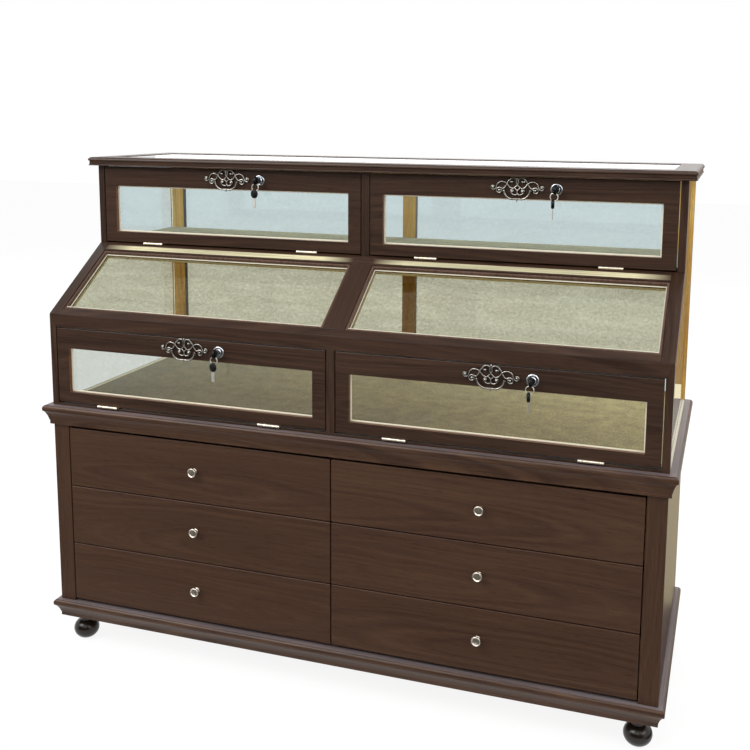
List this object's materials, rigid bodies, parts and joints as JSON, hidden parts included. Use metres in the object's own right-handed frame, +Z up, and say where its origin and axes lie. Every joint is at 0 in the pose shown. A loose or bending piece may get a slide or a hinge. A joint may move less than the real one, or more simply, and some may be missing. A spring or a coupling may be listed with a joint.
{
  "type": "jewelry display cabinet",
  "caption": "Stained wooden display cabinet: a drawer chest on bun feet under a stepped glass showcase with a sloping front, lockable drop-down glazed doors and a glass top.",
  "frame": {"origin": "on the floor, in the middle of the cabinet's box", "axes": "+X to the viewer's right along the cabinet, +Y to the back, +Z up"},
  "size_m": [1.232, 0.505, 0.9959],
  "materials": {
    "stained_wood": "dark walnut stain under satin lacquer",
    "dark_turned_wood": "near-black stain under gloss lacquer",
    "olive_lining": "matt olive lining cloth glued to board",
    "clear_glass": "clear float glass",
    "antique_pewter": "cast, darkened and rubbed bright on the high spots",
    "bright_brass": "polished",
    "chrome_lock": "polished",
    "satin_nickel": "satin nickel plate"
  },
  "bodies": {
    "cabinet": {"plinth_base": "stained_wood", "foot_front_left": "dark_turned_wood", "foot_front_right": "dark_turned_wood", "foot_back_left": "dark_turned_wood", "foot_back_right": "dark_turned_wood", "chest_carcass": "stained_wood", "chest_partition": "stained_wood", "chest_top": "stained_wood", "lower_front_frame": "stained_wood", "upper_front_frame": "stained_wood", "back_frame": "stained_wood", "top_frame": "stained_wood", "display_floor": "olive_lining", "upper_shelf": "olive_lining", "side_glass_left": "clear_glass", "side_glass_right": "clear_glass", "slope_glass_left": "clear_glass", "slope_glass_right": "clear_glass", "back_glass": "clear_glass", "top_glass": "clear_glass", "hinge_lower_left_inner": "bright_brass", "hinge_lower_left_outer": "bright_brass", "hinge_lower_right_inner": "bright_brass", "hinge_lower_right_outer": "bright_brass", "hinge_upper_left_inner": "bright_brass", "hinge_upper_left_outer": "bright_brass", "hinge_upper_right_inner": "bright_brass", "hinge_upper_right_outer": "bright_brass"},
    "door_lower_left": {"door_lower_left": "stained_wood", "door_glass_lower_left": "clear_glass", "handle_plate_lower_left": "antique_pewter"},
    "door_lower_right": {"door_lower_right": "stained_wood", "door_glass_lower_right": "clear_glass", "handle_plate_lower_right": "antique_pewter"},
    "door_upper_left": {"door_upper_left": "stained_wood", "door_glass_upper_left": "clear_glass", "handle_plate_upper_left": "antique_pewter"},
    "door_upper_right": {"door_upper_right": "stained_wood", "door_glass_upper_right": "clear_glass", "handle_plate_upper_right": "antique_pewter"},
    "bail_lower_left": {"handle_bail_lower_left": "antique_pewter"},
    "bail_lower_right": {"handle_bail_lower_right": "antique_pewter"},
    "bail_upper_left": {"handle_bail_upper_left": "antique_pewter"},
    "bail_upper_right": {"handle_bail_upper_right": "antique_pewter"},
    "lock_lower_left": {"lock_plug_lower_left": "chrome_lock"},
    "lock_lower_right": {"lock_plug_lower_right": "chrome_lock"},
    "lock_upper_left": {"lock_plug_upper_left": "chrome_lock"},
    "lock_upper_right": {"lock_plug_upper_right": "chrome_lock"},
    "drawer_top_left": {"drawer_top_left": "stained_wood", "knob_top_left": "satin_nickel"},
    "drawer_top_right": {"drawer_top_right": "stained_wood", "knob_top_right": "satin_nickel"},
    "drawer_middle_left": {"drawer_middle_left": "stained_wood", "knob_middle_left": "satin_nickel"},
    "drawer_middle_right": {"drawer_middle_right": "stained_wood", "knob_middle_right": "satin_nickel"},
    "drawer_bottom_left": {"drawer_bottom_left": "stained_wood", "knob_bottom_left": "satin_nickel"},
    "drawer_bottom_right": {"drawer_bottom_right": "stained_wood", "knob_bottom_right": "satin_nickel"}
  },
  "joints": [
    {"name": "door_drop_lower_left", "type": "hinge", "parent": "cabinet", "child": "door_lower_left", "pos_m": [-0.29725, -0.2303, 0.51429], "axis": [1, 0, 0], "range_deg": [0, 90]},
    {"name": "door_drop_lower_right", "type": "hinge", "parent": "cabinet", "child": "door_lower_right", "pos_m": [0.29725, -0.2303, 0.51429], "axis": [1, 0, 0], "range_deg": [0, 90]},
    {"name": "door_drop_upper_left", "type": "hinge", "parent": "cabinet", "child": "door_upper_left", "pos_m": [-0.29725, -0.0493, 0.81776], "axis": [1, 0, 0], "range_deg": [0, 100]},
    {"name": "door_drop_upper_right", "type": "hinge", "parent": "cabinet", "child": "door_upper_right", "pos_m": [0.29725, -0.0493, 0.81776], "axis": [1, 0, 0], "range_deg": [0, 100]},
    {"name": "bail_swing_lower_left", "type": "hinge", "parent": "door_lower_left", "child": "bail_lower_left", "pos_m": [-0.29725, -0.2333, 0.64127], "axis": [-1, 0, 0], "range_deg": [0, 80]},
    {"name": "bail_swing_lower_right", "type": "hinge", "parent": "door_lower_right", "child": "bail_lower_right", "pos_m": [0.29725, -0.2333, 0.64127], "axis": [-1, 0, 0], "range_deg": [0, 80]},
    {"name": "bail_swing_upper_left", "type": "hinge", "parent": "door_upper_left", "child": "bail_upper_left", "pos_m": [-0.29725, -0.0523, 0.95224], "axis": [-1, 0, 0], "range_deg": [0, 80]},
    {"name": "bail_swing_upper_right", "type": "hinge", "parent": "door_upper_right", "child": "bail_upper_right", "pos_m": [0.29725, -0.0523, 0.95224], "axis": [-1, 0, 0], "range_deg": [0, 80]},
    {"name": "lock_turn_lower_left", "type": "hinge", "parent": "door_lower_left", "child": "lock_lower_left", "pos_m": [-0.22525, -0.2275, 0.64527], "axis": [0, -1, 0], "range_deg": [0, 90]},
    {"name": "lock_turn_lower_right", "type": "hinge", "parent": "door_lower_right", "child": "lock_lower_right", "pos_m": [0.36925, -0.2275, 0.64527], "axis": [0, -1, 0], "range_deg": [0, 90]},
    {"name": "lock_turn_upper_left", "type": "hinge", "parent": "door_upper_left", "child": "lock_upper_left", "pos_m": [-0.22525, -0.0465, 0.95624], "axis": [0, -1, 0], "range_deg": [0, 90]},
    {"name": "lock_turn_upper_right", "type": "hinge", "parent": "door_upper_right", "child": "lock_upper_right", "pos_m": [0.36925, -0.0465, 0.95624], "axis": [0, -1, 0], "range_deg": [0, 90]},
    {"name": "drawer_slide_top_left", "type": "slide", "parent": "cabinet", "child": "drawer_top_left", "axis": [0, -1, 0], "range_m": [0, 0.3]},
    {"name": "drawer_slide_top_right", "type": "slide", "parent": "cabinet", "child": "drawer_top_right", "axis": [0, -1, 0], "range_m": [0, 0.3]},
    {"name": "drawer_slide_middle_left", "type": "slide", "parent": "cabinet", "child": "drawer_middle_left", "axis": [0, -1, 0], "range_m": [0, 0.3]},
    {"name": "drawer_slide_middle_right", "type": "slide", "parent": "cabinet", "child": "drawer_middle_right", "axis": [0, -1, 0], "range_m": [0, 0.3]},
    {"name": "drawer_slide_bottom_left", "type": "slide", "parent": "cabinet", "child": "drawer_bottom_left", "axis": [0, -1, 0], "range_m": [0, 0.3]},
    {"name": "drawer_slide_bottom_right", "type": "slide", "parent": "cabinet", "child": "drawer_bottom_right", "axis": [0, -1, 0], "range_m": [0, 0.3]}
  ]
}
